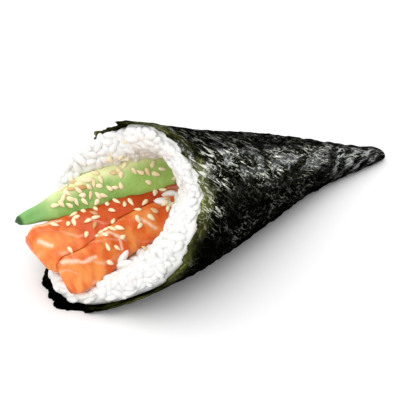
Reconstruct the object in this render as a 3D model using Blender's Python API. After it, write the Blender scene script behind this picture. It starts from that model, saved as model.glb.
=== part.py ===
# Salmon hand roll: a cone of rolled seaweed, lying on its side, filled with rice,
# two strips of salmon and a slice of avocado, and sprinkled with sesame seeds.
# +X runs along the roll to its thin tail, +Z is up, and the origin is the middle
# of the footprint. Every size is in metres.

import bisect
import math
import random

import bmesh
import bpy
from mathutils import Vector
from mathutils.bvhtree import BVHTree

# Rolled sheet
APEX_X = 0.0765  # where the straight sides of the cone would meet
CONE_SLOPE = 0.240  # radius gained for each metre away from the apex
TIP_X = 0.0698
TAIL_RADIUS = 0.0028
TAIL_EASE = 0.0014
NOSE_LENGTH = 0.0060
NOSE_OPENING = 0.40  # share of the tail's radius left where the sheet ends
PRESSED_SHARE = 0.040  # the roll settles by this share of its radius
SHEET = 0.00045
LAYER_GAP = 0.00030
CLEARANCE = 0.00035
RIPPLE = 0.00022

# Handwork: the tail bends to the far side, and the near side of the mouth swells. Each
# table gives a place along the roll and a sideways distance.
TAIL_BEND = ((-0.012, 0.0), (0.038, 0.0046), (0.0698, 0.0022))
NEAR_SWELL = ((-0.072, 0.0), (-0.036, 0.0036), (0.004, 0.0))

# The mouth's edge: angle round the roll from the bottom, towards the far side, and
# how far along the roll the sheet reaches there.
MOUTH_EDGE = (
    (-150, -0.0304),
    (-131, -0.0308),
    (-115, -0.0348),
    (-103, -0.0398),
    (-90, -0.0432),
    (-62, -0.0502),
    (-38, -0.0598),
    (-20, -0.0685),
    (-3, -0.0762),
    (20, -0.0715),
    (60, -0.0575),
    (90, -0.0460),
    (103, -0.0424),
    (118, -0.0418),
    (131, -0.0362),
    (150, -0.0382),
    (178, -0.0330),
)
EDGE_SMOOTHING = math.radians(7)
RAG = 0.0006

# The sheet starts under the near side, goes once round and ends on the far side.
WRAP_START = math.radians(-32)
SEAM_AT_LIP = math.radians(28)
SEAM_AT_TAIL = math.radians(125)
STEP_STARTS = math.radians(150)
STEP_ENDS = math.radians(318)
SHEET_COLUMNS = 76
SHEET_ROWS = 15

# Rice
RICE_END_X = 0.052
HOLLOW_X = -0.0150  # how deep the hollow that holds the fillings goes
HOLLOW_BLUNTNESS = 0.50
HOLLOW_LEAN = 0.0060  # its floor lies that much to the far side
RICE_WALL = (
    (-150, 0.0138),
    (-122, 0.0165),
    (-92, 0.0138),
    (-62, 0.0118),
    (-40, 0.0100),
    (0, 0.0080),
    (45, 0.0090),
    (95, 0.0095),
    (130, 0.0095),
    (175, 0.0088),
)
RICE_CROWN = (
    (-150, 0.0022),
    (-95, 0.0030),
    (-58, 0.0055),
    (-25, 0.0025),
    (0, 0.0005),
    (40, 0.0020),
    (78, 0.0060),
    (102, 0.0062),
    (122, 0.0018),
    (165, 0.0020),
)
RICE_SET_BACK = (
    (-150, 0.0014),
    (-60, 0.0014),
    (-25, 0.0030),
    (20, 0.0040),
    (55, 0.0022),
    (85, -0.0006),
    (108, -0.0006),
    (130, 0.0014),
)
RICE_COLUMNS = 42
SIDE_ROWS = 6
CROWN_ROWS = 4
HOLLOW_ROWS = 6
RICE_LUMP = 0.0007
GRAIN_LENGTH = 0.0064
GRAIN_WIDTH = 0.0027
GRAINS = 125
GRAIN_SPACING = 0.0036

# Fillings: each runs along a curve through its section's centres
SALMON_FRONT_LINE = (
    (0.002, -0.0015, 0.0140),
    (-0.026, 0.0012, 0.0136),
    (-0.046, 0.0016, 0.0128),
    (-0.062, -0.0048, 0.0130),
    (-0.0730, -0.0062, 0.0130),
)
SALMON_FRONT_SIZE = (0.0128, 0.0090)
SALMON_FRONT_ROLL = (38, 46, 50, 51, 48)
SALMON_BACK_LINE = (
    (-0.004, 0.0060, 0.0180),
    (-0.028, 0.0088, 0.0160),
    (-0.047, 0.0080, 0.0154),
    (-0.060, 0.0072, 0.0156),
    (-0.0755, 0.0064, 0.0164),
)
SALMON_BACK_SIZE = (0.0182, 0.0088)
SALMON_BACK_ROLL = (20, 14, 10, 10, 11)
AVOCADO_LINE = (
    (-0.001, 0.0106, 0.0220),
    (-0.023, 0.0137, 0.0251),
    (-0.046, 0.0171, 0.0235),
    (-0.060, 0.0172, 0.0224),
    (-0.0745, 0.0206, 0.0204),
)
AVOCADO_WIDTHS = (0.0140, 0.0158, 0.0128, 0.0098, 0.0026)
AVOCADO_THICKNESS = 0.0068
AVOCADO_ROLL = (60, 63, 63, 63, 60)
STRIP_ROWS = 14
STRIP_COLUMNS = 14
FILLING_GAP = 0.0003

# Sesame
SEED_LENGTH = 0.0032
SEED_WIDTH = 0.0019
SEED_HEIGHT = 0.0011
SEED_SPACING = 0.0024

COLOURS = {
    "seaweed": ((0.018, 0.024, 0.014, 1), 0.45),
    "rice": ((0.86, 0.85, 0.80, 1), 0.45),
    "salmon": ((0.90, 0.26, 0.08, 1), 0.35),
    "avocado": ((0.42, 0.62, 0.16, 1), 0.45),
}


def clamp(value, low, high):
    return min(max(value, low), high)


def ease(value):
    """0 below 0, 1 above 1, and smooth between them."""
    t = clamp(value, 0, 1)
    return t * t * (3 - 2 * t)


def around(pairs, angle, spread=0.0):
    """The value at an angle, between pairs that go once round, smoothed over a spread."""
    steps = 5 if spread else 0
    total = 0.0
    for i in range(-steps, steps + 1):
        turned = angle + spread * i / max(steps, 1)
        degrees = (math.degrees(turned) - pairs[0][0]) % 360 + pairs[0][0]
        ends = [*pairs, (pairs[0][0] + 360, pairs[0][1])]
        at = bisect.bisect_right([a for a, _ in ends], degrees) - 1
        (a, low), (b, high) = ends[at], ends[at + 1]
        total += low + (high - low) * (degrees - a) / (b - a)
    return total / (2 * steps + 1)


def roll_radius(x):
    """Outer radius of the roll: a straight taper that eases into the tail and rounds off at its end."""
    taper = CONE_SLOPE * (APEX_X - x)
    swell = math.hypot(taper - TAIL_RADIUS, TAIL_EASE)
    radius = (taper + TAIL_RADIUS + swell) / 2
    left = clamp((TIP_X - x) / NOSE_LENGTH, 0, 1)
    rounding = math.sqrt(1 - (1 - left) ** 2)
    return radius * (NOSE_OPENING + (1 - NOSE_OPENING) * rounding)


def ripple(x, angle):
    """Shallow waves that the damp sheet has round the cone."""
    fade = ease((TIP_X - x) / 0.040)
    waves = math.sin(5 * angle + 60 * x) + 0.7 * math.sin(3 * angle - 110 * x + 1.3)
    return RIPPLE * fade * waves


def along_roll(table, x):
    """An eased reading of a short table of places along the roll."""
    for (low, first), (high, second) in zip(table, table[1:]):
        if x < high:
            return first + (second - first) * ease((x - low) / (high - low))
    return table[-1][1]


def side_shift(x, angle):
    """How far to the far side a point of the section lies from where a straight round roll has it."""
    return along_roll(TAIL_BEND, x) + min(math.sin(angle), 0) * along_roll(NEAR_SWELL, x)


def section_point(x, angle, inset):
    """A point of the roll's section at x, that far inside its skin, pressed flat where it lies."""
    radius = roll_radius(x) + ripple(x, angle)
    y = (radius - inset) * math.sin(angle) + side_shift(x, angle)
    round_z = radius - (radius - inset) * math.cos(angle) - PRESSED_SHARE * radius
    return Vector((x, y, max(round_z, inset)))


def mouth_x(angle):
    return around(MOUTH_EDGE, angle, EDGE_SMOOTHING)


def wrap_end(along):
    """Where the outer end of the sheet lies, from the lip (0) to the tail (1)."""
    seam = SEAM_AT_LIP + (SEAM_AT_TAIL - SEAM_AT_LIP) * ease(along * 1.1)
    return 2 * math.pi + seam


def layer_inset(wrap):
    """The first turn lies one layer deeper than the end that laps over it."""
    rise = ease((wrap - STEP_STARTS) / (STEP_ENDS - STEP_STARTS))
    return (SHEET + LAYER_GAP) * (1 - rise)


def rag(wrap):
    """The torn edge of the sheet."""
    return RAG * (math.sin(17 * wrap) + 0.8 * math.sin(29 * wrap + 2) + 0.5 * math.sin(41 * wrap + 1))


def rice_inset(angle):
    """The rice stays clear of the innermost layer of the sheet."""
    wrap = WRAP_START + (angle - WRAP_START) % (2 * math.pi)
    before_start = ease((wrap - WRAP_START - 2 * math.pi + 0.5) / 0.35)
    deepest = SHEET + LAYER_GAP
    inset = layer_inset(wrap)
    return inset + (deepest - inset) * before_start + SHEET + CLEARANCE


def lump(x, y, z):
    """Soft unevenness of the packed rice."""
    first = math.sin(430 * x + 2) * math.sin(510 * y + 1)
    second = math.sin(610 * z + 390 * y) * math.sin(350 * x - 480 * z)
    return RICE_LUMP * (first + second)


def material(name):
    colour, roughness = COLOURS[name]
    made = bpy.data.materials.new(name)
    made.use_nodes = True
    shader = made.node_tree.nodes["Principled BSDF"]
    shader.inputs["Base Color"].default_value = colour
    shader.inputs["Roughness"].default_value = roughness
    made.diffuse_color = colour
    return made


def new_object(name, points, faces, finish=None, home=None):
    mesh = bpy.data.meshes.new(name)
    mesh.from_pydata([tuple(p) for p in points], [], faces)
    made = bpy.data.objects.new(name, mesh)
    (home or bpy.context.scene.collection).objects.link(made)
    if finish:
        mesh.materials.append(finish)
    face_outwards(made)
    return made


def face_outwards(made):
    shape = bmesh.new()
    shape.from_mesh(made.data)
    bmesh.ops.recalc_face_normals(shape, faces=shape.faces)
    shape.to_mesh(made.data)
    shape.free()


def closed_tube(rings, first, last):
    """Points and triangles of a skin over rings of points, closed at both ends by a point."""
    columns = len(rings[0])
    points = [p for ring in rings for p in ring] + [first, last]
    faces = []
    for row in range(len(rings) - 1):
        for column in range(columns):
            beside = (column + 1) % columns
            a, b = row * columns + column, row * columns + beside
            faces += [(a, b, b + columns), (a, b + columns, a + columns)]
    start, end = len(points) - 2, len(points) - 1
    base = (len(rings) - 1) * columns
    for column in range(columns):
        beside = (column + 1) % columns
        faces += [(start, beside, column), (base + column, base + beside, end)]
    return points, faces


def seaweed_sheet(finish):
    """One thin sheet, rolled a turn and a bit, with both of its faces split into triangles alike."""
    sides = []
    for depth in (0, SHEET):
        for row in range(SHEET_ROWS + 1):
            share = (row / SHEET_ROWS) ** 0.85
            for column in range(SHEET_COLUMNS + 1):
                wrap = WRAP_START + (wrap_end(share) - WRAP_START) * column / SHEET_COLUMNS
                edge = mouth_x(wrap) + rag(wrap)
                along = 1 - (1 - share) ** 1.15
                x = edge + (TIP_X - edge) * along
                sides.append(section_point(x, wrap, layer_inset(wrap) + depth))
    across = SHEET_COLUMNS + 1
    layer = across * (SHEET_ROWS + 1)
    faces = []
    for row in range(SHEET_ROWS):
        for column in range(SHEET_COLUMNS):
            a = row * across + column
            outer = [(a, a + 1, a + across + 1), (a, a + across + 1, a + across)]
            faces += outer
            faces += [tuple(i + layer for i in reversed(face)) for face in outer]
    border = [row * across for row in range(SHEET_ROWS, -1, -1)]
    border += list(range(1, across))
    border += [row * across + SHEET_COLUMNS for row in range(1, SHEET_ROWS + 1)]
    border += list(range(layer - 2, layer - across, -1))
    for a, b in zip(border, border[1:] + border[:1]):
        faces += [(b, a, a + layer), (b, a + layer, b + layer)]
    return new_object("seaweed_sheet", sides, faces, finish)


def rice_ring(place):
    return [place(2 * math.pi * column / RICE_COLUMNS) for column in range(RICE_COLUMNS)]


def rice_edge_x(angle):
    return mouth_x(angle) + around(RICE_SET_BACK, angle, 0.2)


def rice_core(finish):
    """A thick cup of rice, swelling past the mouth, with a hollow that holds the fillings."""
    rings = []
    for row in range(SIDE_ROWS):
        share = row / SIDE_ROWS

        def on_side(angle, share=share):
            x = RICE_END_X + (rice_edge_x(angle) - RICE_END_X) * share
            return section_point(x, angle, rice_inset(angle))

        rings.append(rice_ring(on_side))
    for row in range(CROWN_ROWS + 1):
        share = row / CROWN_ROWS

        def on_crown(angle, share=share):
            wall = around(RICE_WALL, angle, 0.2)
            x = rice_edge_x(angle)
            inset = rice_inset(angle) + (wall - rice_inset(angle)) * share
            point = section_point(x, angle, inset)
            swell = math.sin(math.pi * share) * around(RICE_CROWN, angle, 0.2)
            lift = Vector((-0.8, 0, 0.6)) * swell
            return point + lift + Vector((-lump(*point) * math.sin(math.pi * share), 0, 0))

        rings.append(rice_ring(on_crown))
    for row in range(1, HOLLOW_ROWS):
        turn = math.pi / 2 * row / HOLLOW_ROWS

        def in_hollow(angle, turn=turn):
            edge = rice_edge_x(angle)
            x = edge + (HOLLOW_X - edge) * math.sin(turn)
            wall = around(RICE_WALL, angle, 0.2)
            reach = (roll_radius(x) - wall) * math.cos(turn) ** HOLLOW_BLUNTNESS
            lean = HOLLOW_LEAN * math.sin(turn) ** 2
            y = reach * math.sin(angle) + lean + side_shift(x, angle)
            z = roll_radius(x) * (1 - PRESSED_SHARE) - reach * math.cos(angle)
            return Vector((x - lump(x, y, z), y, z + lump(y, z, x)))

        rings.append(rice_ring(in_hollow))
    tail = Vector((RICE_END_X + 0.002, side_shift(RICE_END_X, 0), roll_radius(RICE_END_X)))
    floor = Vector((HOLLOW_X, HOLLOW_LEAN, roll_radius(HOLLOW_X)))
    return new_object("rice", *closed_tube(rings, tail, floor), finish)


def curve_point(points, share):
    """A smooth curve through the points, and its direction, at a share of its length."""
    spans = len(points) - 1
    place = clamp(share * spans, 0, spans - 1e-6)
    i = int(place)
    t = place - i
    p1, p2 = Vector(points[i]), Vector(points[i + 1])
    p0 = Vector(points[i - 1]) if i else 2 * p1 - p2
    p3 = Vector(points[i + 2]) if i + 2 <= spans else 2 * p2 - p1
    bend = 2 * p0 - 5 * p1 + 4 * p2 - p3
    twist = 3 * p1 - 3 * p2 + p3 - p0
    at = 0.5 * (2 * p1 + (p2 - p0) * t + bend * t**2 + twist * t**3)
    going = 0.5 * ((p2 - p0) + 2 * bend * t + 3 * twist * t**2)
    return at, going.normalized()


def level_at(values, share):
    place = clamp(share * (len(values) - 1), 0, len(values) - 1 - 1e-6)
    i = int(place)
    return values[i] + (values[i + 1] - values[i]) * (place - i)


def strip_frame(line, roll, share):
    """Centre of a strip's section, and the directions across its width and out of its top."""
    centre, along = curve_point(line, share)
    across = Vector((0, 0, 1)).cross(-along).normalized()
    up = (-along).cross(across)
    tilt = math.radians(level_at(roll, share))
    wide = across * math.cos(tilt) + up * math.sin(tilt)
    return centre, wide, up * math.cos(tilt) - across * math.sin(tilt)


def salmon_section(turn, share, size):
    """A cut block of fish: rounded corners, a crowned top and shallow steps between flakes."""
    wide, thick = size
    c, s = math.cos(turn), math.sin(turn)
    y = math.copysign(abs(c) ** 0.45, c) * wide / 2
    z = math.copysign(abs(s) ** 0.55, s) * thick / 2
    flakes = 0.00028 * math.sin(40 * share + 500 * y)
    end = math.sqrt(clamp(1 - ((share - 0.93) / 0.07) ** 2, 0.25, 1)) if share > 0.93 else 1
    return y * (1 + 0.05 * math.sin(7 * share)) * (0.6 + 0.4 * end), (z + (flakes if s > 0 else 0)) * end


def avocado_section(turn, share, size):
    """A slice of the fruit: two cut faces that meet in a thin edge, round on the skin side."""
    wide = level_at(AVOCADO_WIDTHS, share)
    slimmer = 0.35 + 0.65 * wide / max(AVOCADO_WIDTHS)
    c, s = math.cos(turn), math.sin(turn)
    y = math.copysign(abs(c) ** 0.8, c) * wide / 2
    bulk = 1.0 - 0.30 * math.copysign(abs(c) ** 0.8, c)
    return y, math.copysign(abs(s) ** 0.62, s) * size[1] / 2 * bulk * slimmer


FILLINGS = {
    "salmon_front": (SALMON_FRONT_LINE, SALMON_FRONT_ROLL, SALMON_FRONT_SIZE, salmon_section, "salmon"),
    "salmon_back": (SALMON_BACK_LINE, SALMON_BACK_ROLL, SALMON_BACK_SIZE, salmon_section, "salmon"),
    "avocado": (AVOCADO_LINE, AVOCADO_ROLL, (None, AVOCADO_THICKNESS), avocado_section, "avocado"),
}


def strip(name, kind, finish=None, grown=0.0, home=None):
    """A filling swept along its line. Grown by a gap, it is the cutter for its bed."""
    line, roll, size, section, _ = FILLINGS[kind]
    rings = []
    for row in range(STRIP_ROWS + 1):
        share = row / STRIP_ROWS
        centre, wide, up = strip_frame(line, roll, share)
        ring = []
        for column in range(STRIP_COLUMNS):
            turn = 2 * math.pi * (column + 0.5) / STRIP_COLUMNS
            y, z = section(turn, share, size)
            out = Vector((y, z)).normalized() * grown * 1.25
            ring.append(centre + wide * (y + out.x) + up * (z + out.y))
        rings.append(ring)
    ends = []
    for share, reach in ((0, -1), (1, 1)):
        centre, _ = curve_point(line, share)
        beside, _ = curve_point(line, 0.02 if share == 0 else 0.98)
        ends.append(centre + (centre - beside).normalized() * (0.0012 + grown))
    return new_object(name, *closed_tube(rings, *ends), finish, home)


def pebble(centre, along, across, up, length, width, height, pointed=0.0):
    """A grain or seed of thirty triangles: five sides and four bands from end to end."""
    rings = []
    for band in (0.17, 0.5, 0.83):
        size = math.sin(math.pi * band) ** 0.75 * (1 - pointed * (band - 0.5))
        middle = centre + along * length * (band - 0.5)
        ring = []
        for side in range(5):
            turn = 2 * math.pi * side / 5
            ring.append(
                middle
                + across * (math.cos(turn) * width / 2 * size)
                + up * (math.sin(turn) * height / 2 * size)
            )
        rings.append(ring)
    return closed_tube(rings, centre - along * length / 2, centre + along * length / 2)


def tree_of(*objects):
    """A search tree over the triangles of the objects."""
    points, faces = [], []
    for made in objects:
        base = len(points)
        points += [v.co.copy() for v in made.data.vertices]
        faces += [tuple(base + i for i in p.vertices) for p in made.data.polygons]
    return BVHTree.FromPolygons(points, faces)


def clear_of(points, faces, trees, least):
    """Whether a small closed shape keeps that distance from every tree, and isn't inside one."""
    own = BVHTree.FromPolygons(points, faces)
    for tree in trees:
        if own.overlap(tree):
            return False
        for point in points:
            near, normal, _, distance = tree.find_nearest(point)
            if distance < least or (Vector(point) - near).dot(normal) < 0:
                return False
    return True


def spots_on(made, count, spacing, chosen, source):
    """Seeded points on the faces that chosen() accepts, no two closer than the spacing."""
    faces = [p for p in made.data.polygons if chosen(p.center, p.normal)]
    areas = [p.area for p in faces]
    found = []
    for _ in range(count * 60):
        face = source.choices(faces, areas)[0]
        corners = [made.data.vertices[i].co for i in face.vertices]
        a, b = sorted((source.random(), source.random()))
        spot = corners[0] * a + corners[1] * (b - a) + corners[2] * (1 - b)
        if all((spot - other).length > spacing for other, _ in found):
            found.append((spot, face.normal.copy()))
        if len(found) == count:
            break
    return found


def join_into(target, pieces):
    """Fuses small closed shapes to a solid with one Boolean union, and leaves no helper behind."""
    home = bpy.data.collections.new(target.name + "_pieces")
    bpy.context.scene.collection.children.link(home)
    for i, (points, faces) in enumerate(pieces):
        new_object(f"{target.name}_piece_{i}", points, faces, home=home)
    fuse = target.modifiers.new("fused", "BOOLEAN")
    fuse.operation = "UNION"
    fuse.operand_type = "COLLECTION"
    fuse.collection = home
    fuse.solver = "EXACT"
    apply_modifiers(target)
    for piece in list(home.objects):
        bpy.data.objects.remove(piece)
    bpy.data.collections.remove(home)


def cut_from(target, cutters):
    for cutter in cutters:
        cut = target.modifiers.new("bed", "BOOLEAN")
        cut.operation = "DIFFERENCE"
        cut.object = cutter
        cut.solver = "EXACT"
    apply_modifiers(target)


def apply_modifiers(made):
    graph = bpy.context.evaluated_depsgraph_get()
    done = bpy.data.meshes.new_from_object(made.evaluated_get(graph))
    made.modifiers.clear()
    old = made.data
    made.data = done
    bpy.data.meshes.remove(old)
    keep_main_body(made)


def keep_main_body(made):
    """Drops the scraps that a cut leaves and fills the hollows that a union seals, in triangles."""
    shape = bmesh.new()
    shape.from_mesh(made.data)
    bmesh.ops.dissolve_degenerate(shape, dist=1e-6, edges=shape.edges)
    bmesh.ops.triangulate(shape, faces=shape.faces)
    left = set(shape.verts)
    bodies = []
    while left:
        body, reach = set(), [left.pop()]
        while reach:
            vertex = reach.pop()
            body.add(vertex)
            beside = {edge.other_vert(vertex) for edge in vertex.link_edges} & left
            left -= beside
            reach += beside
        bodies.append(body)
    bodies.sort(key=len)
    scraps = [vertex for body in bodies[:-1] for vertex in body]
    bmesh.ops.delete(shape, geom=scraps, context="VERTS")
    shape.to_mesh(made.data)
    shape.free()


def lying_on(normal, source):
    """Two directions in the surface, turned at random, for a piece that lies on it."""
    side = normal.cross(Vector((0.3, 0.2, 0.93))).normalized()
    other = normal.cross(side)
    turn = source.uniform(0, 2 * math.pi)
    along = side * math.cos(turn) + other * math.sin(turn)
    return along, normal.cross(along)


def rice_grains(rice, trees, source):
    """Grains that stand out of the crown and the hollow, at true size."""

    def shows(centre, normal):
        angle = math.atan2(centre.y, roll_radius(centre.x) - centre.z)
        return centre.x < rice_edge_x(angle) + 0.001 or (centre.x < HOLLOW_X + 0.001 and normal.x < 0.2)

    grains = []
    for spot, normal in spots_on(rice, GRAINS, GRAIN_SPACING, shows, source):
        along, across = lying_on(normal, source)
        tilted = (along + normal * source.uniform(-0.25, 0.35)).normalized()
        up = tilted.cross(across)
        size = source.uniform(0.85, 1.12)
        centre = spot + normal * GRAIN_WIDTH * 0.12
        width = GRAIN_WIDTH * source.uniform(0.9, 1.1)
        made = pebble(centre, tilted, across, up, GRAIN_LENGTH * size, width, width * 0.85)
        if clear_of(*made, trees, CLEARANCE):
            grains.append(made)
    return grains


def seeds_on(made, count, chosen, trees, source):
    """Sesame seeds that lie on a filling, a third sunk in it."""
    seeds = []
    for spot, normal in spots_on(made, count, SEED_SPACING, chosen, source):
        along, across = lying_on(normal, source)
        centre = spot + normal * SEED_HEIGHT * 0.2
        made_seed = pebble(centre, along, across, normal, SEED_LENGTH, SEED_WIDTH, SEED_HEIGHT, 0.5)
        if clear_of(*made_seed, trees, CLEARANCE):
            seeds.append(made_seed)
    return seeds


def put_origin_under_the_middle():
    """Moves every solid so that the origin is the middle of the footprint."""
    corners = [v.co for made in bpy.data.objects for v in made.data.vertices]
    low = [min(c[i] for c in corners) for i in range(3)]
    high = [max(c[i] for c in corners) for i in range(3)]
    shift = Vector((-(low[0] + high[0]) / 2, -(low[1] + high[1]) / 2, -low[2]))
    for made in bpy.data.objects:
        for vertex in made.data.vertices:
            vertex.co += shift


def shade(made):
    made.data.shade_smooth()
    made.data.set_sharp_from_angle(angle=math.radians(50))


def main():
    for old in list(bpy.data.objects):
        bpy.data.objects.remove(old)
    finishes = {name: material(name) for name in COLOURS}
    sheet = seaweed_sheet(finishes["seaweed"])
    rice = rice_core(finishes["rice"])
    made = {name: strip(name, name, finishes[FILLINGS[name][4]]) for name in FILLINGS}
    cutters = {name: strip(name + "_bed", name, grown=FILLING_GAP) for name in FILLINGS}

    cut_from(made["salmon_back"], [cutters["salmon_front"]])
    cut_from(made["avocado"], [cutters["salmon_front"], cutters["salmon_back"]])
    cut_from(rice, list(cutters.values()))
    solids = {**made, "rice": rice, "sheet": sheet}

    source = random.Random(7)
    others = tree_of(sheet), tree_of(*cutters.values())
    grains = rice_grains(rice, others, source)
    for cutter in cutters.values():
        bpy.data.objects.remove(cutter)

    seeds = {}
    for name, count in (("salmon_front", 22), ("salmon_back", 12), ("avocado", 26)):
        near = [tree_of(o) for other, o in solids.items() if other != name]

        def on_top(centre, normal):
            return normal.z > 0.35 and centre.x < HOLLOW_X - 0.001

        seeds[name] = seeds_on(made[name], count, on_top, near, source)
    join_into(rice, grains)
    for name, pieces in seeds.items():
        join_into(made[name], pieces)
    put_origin_under_the_middle()
    for solid in bpy.data.objects:
        shade(solid)
        print(solid.name, len(solid.data.polygons), "triangles")


main()
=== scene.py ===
# %% [markdown]
# A salmon hand roll is a sheet of toasted seaweed, rolled into a cone round warm rice,
# salmon and avocado. This lesson dresses the plain solids of that roll as the real
# food. It starts by loading the solids, which give every piece its place and size.

# %% Load the solids
import math
import random

import bmesh
import bpy
import numpy as np
from mathutils import Matrix, Vector
from mathutils.bvhtree import BVHTree
from mathutils.kdtree import KDTree


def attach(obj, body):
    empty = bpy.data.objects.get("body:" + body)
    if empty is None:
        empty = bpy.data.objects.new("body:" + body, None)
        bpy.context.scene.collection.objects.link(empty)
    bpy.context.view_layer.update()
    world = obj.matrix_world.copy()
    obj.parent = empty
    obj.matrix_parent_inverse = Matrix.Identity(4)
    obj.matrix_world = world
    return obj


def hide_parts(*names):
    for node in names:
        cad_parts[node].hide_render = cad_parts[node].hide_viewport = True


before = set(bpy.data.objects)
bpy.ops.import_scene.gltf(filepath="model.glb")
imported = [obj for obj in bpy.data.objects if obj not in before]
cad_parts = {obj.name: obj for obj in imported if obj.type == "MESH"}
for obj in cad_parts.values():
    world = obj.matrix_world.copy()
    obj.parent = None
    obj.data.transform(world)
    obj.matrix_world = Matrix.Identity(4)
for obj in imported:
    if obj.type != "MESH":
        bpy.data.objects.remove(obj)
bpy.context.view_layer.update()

# %% [markdown]
# The cone could be a Blender cone that is bent and pinched by hand. Its shape follows a
# few plain rules, though: a straight taper, a tail, and a mouth cut on a slant. Rules
# written as formulas keep the sheet, the rice and the fillings in step with each other.

# %% The shape of the roll
APEX_X = 0.0765  # where the straight sides of the cone would meet
CONE_SLOPE = 0.240
TIP_X = 0.0698
TAIL_RADIUS = 0.0028
TAIL_EASE = 0.0014
NOSE_LENGTH = 0.0060
NOSE_OPENING = 0.40
PRESSED_SHARE = 0.040
SHEET = 0.00045
LAYER_GAP = 0.00030
RIPPLE = 0.00022
# Places along the roll, with the shift to the far side and the near side's swell there.
TAIL_BEND = ((-0.012, 0.0), (0.038, 0.0046), (0.0698, 0.0022))
NEAR_SWELL = ((-0.072, 0.0), (-0.036, 0.0036), (0.004, 0.0))
ORIGIN = Vector((-0.0034484, -0.0016296, 0.0))  # the origin's place along these formulas


def ease(value):
    """0 below 0, 1 above 1, and smooth between them."""
    t = np.clip(value, 0, 1)
    return t * t * (3 - 2 * t)


def roll_radius(x):
    """A straight taper that eases into the tail and rounds off at its end."""
    taper = CONE_SLOPE * (APEX_X - x)
    swell = np.hypot(taper - TAIL_RADIUS, TAIL_EASE)
    left = np.clip((TIP_X - x) / NOSE_LENGTH, 0, 1)
    rounding = np.sqrt(1 - (1 - left) ** 2)
    return (taper + TAIL_RADIUS + swell) / 2 * (NOSE_OPENING + (1 - NOSE_OPENING) * rounding)


def ripple(x, angle):
    """Shallow waves that the damp sheet has round the cone."""
    waves = np.sin(5 * angle + 60 * x) + 0.7 * np.sin(3 * angle - 110 * x + 1.3)
    return RIPPLE * ease((TIP_X - x) / 0.040) * waves


def along_roll(table, x):
    """An eased reading of a short table of places along the roll."""
    x = np.asarray(x)
    value = np.full(x.shape, table[0][1])
    for (low, first), (high, second) in zip(table, table[1:]):
        value = np.where(x > low, first + (second - first) * ease((x - low) / (high - low)), value)
    return value


def side_shift(x, side):
    """How far the bend and the swell move a point to the far side. Side is its angle's sine."""
    return along_roll(TAIL_BEND, x) + np.minimum(side, 0) * along_roll(NEAR_SWELL, x)


def straightened(x, y):
    """The sideways place a point has once the bend and the swell are taken out again."""
    y = y - along_roll(TAIL_BEND, x)
    radius = roll_radius(x)
    return np.where(y < 0, y * radius / (radius + along_roll(NEAR_SWELL, x)), y)


def section_points(x, angle, inset, relief=0.0):
    """Points of the roll's section, that far inside its skin, pressed flat where it lies."""
    radius = roll_radius(x) + ripple(x, angle)
    reach = radius - inset + relief
    y = reach * np.sin(angle) + side_shift(x, np.sin(angle))
    round_z = radius - reach * np.cos(angle) - PRESSED_SHARE * radius
    return np.stack([x, y, np.maximum(round_z, inset)], -1) - np.array(ORIGIN)


print("radius at the mouth and at the tail:", np.round(roll_radius(np.array([-0.036, 0.06])), 4))

# %% [markdown]
# The mouth is a scoop: the lip under the fillings reaches much further than the top. A
# short table of angle and place says how far the sheet reaches at each side, and a
# smoothed reading of that table gives every point between.

# %% The mouth's edge
MOUTH_EDGE = (
    (-150, -0.0304),
    (-131, -0.0308),
    (-115, -0.0348),
    (-103, -0.0398),
    (-90, -0.0432),
    (-62, -0.0502),
    (-38, -0.0598),
    (-20, -0.0685),
    (-3, -0.0762),
    (20, -0.0715),
    (60, -0.0575),
    (90, -0.0460),
    (103, -0.0424),
    (118, -0.0418),
    (131, -0.0362),
    (150, -0.0382),
    (178, -0.0330),
)


def around(pairs, angle, spread):
    """Reads a table of (degrees, value) that goes once round, smoothed over a spread."""
    degrees = np.degrees(np.asarray(angle, dtype=float))
    places, values = zip(*pairs)
    turned = [degrees + math.degrees(spread) * i / 5 for i in range(-5, 6)]
    return sum(np.interp(t, places, values, period=360) for t in turned) / 11


def mouth_x(angle):
    return around(MOUTH_EDGE, angle, math.radians(7))


print("the lip reaches", round(float(mouth_x(0) - mouth_x(math.pi)), 4), "m further than the top")

# %% [markdown]
# Every surface here is a grid of points, so one helper turns a grid into a mesh. Extra
# values that a material needs later, such as how near the torn edge a point lies, are
# stored on the mesh as named attributes.

# %% Helpers for meshes


def add_object(name, data):
    thing = bpy.data.objects.new(name, data)
    bpy.context.scene.collection.objects.link(thing)
    return thing


def new_piece(name, points, faces, values=None):
    mesh = bpy.data.meshes.new(name)
    mesh.from_pydata([tuple(p) for p in points], [], faces)
    for key, numbers in (values or {}).items():
        numbers = np.asarray(numbers, dtype=np.float32)
        kind = "FLOAT" if numbers.ndim == 1 else "FLOAT_VECTOR"
        layer = mesh.attributes.new(key, kind, "POINT")
        layer.data.foreach_set("value" if kind == "FLOAT" else "vector", numbers.ravel())
    mesh.shade_smooth()
    return add_object(name, mesh)


def grid_faces(rows, columns, start=0, closed=False, turned=False):
    """Squares between rows of points. A closed grid joins its last column to its first."""
    faces = []
    across = columns if closed else columns + 1
    for row in range(rows):
        for column in range(columns):
            a = start + row * across + column
            b = start + row * across + (column + 1) % across
            square = (a, b, b + across, a + across)
            faces.append(square[::-1] if turned else square)
    return faces


def tube_piece(name, rings, ends, values=None):
    """A closed skin over rings of points, with a point at either end."""
    rows, columns = len(rings) - 1, len(rings[0])
    points = [p for ring in rings for p in ring] + list(ends)
    faces = grid_faces(rows, columns, closed=True)
    first, last = len(points) - 2, len(points) - 1
    for column in range(columns):
        beside = (column + 1) % columns
        faces.append((first, beside, column))
        faces.append((rows * columns + column, rows * columns + beside, last))
    return new_piece(name, points, faces, values)


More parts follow.
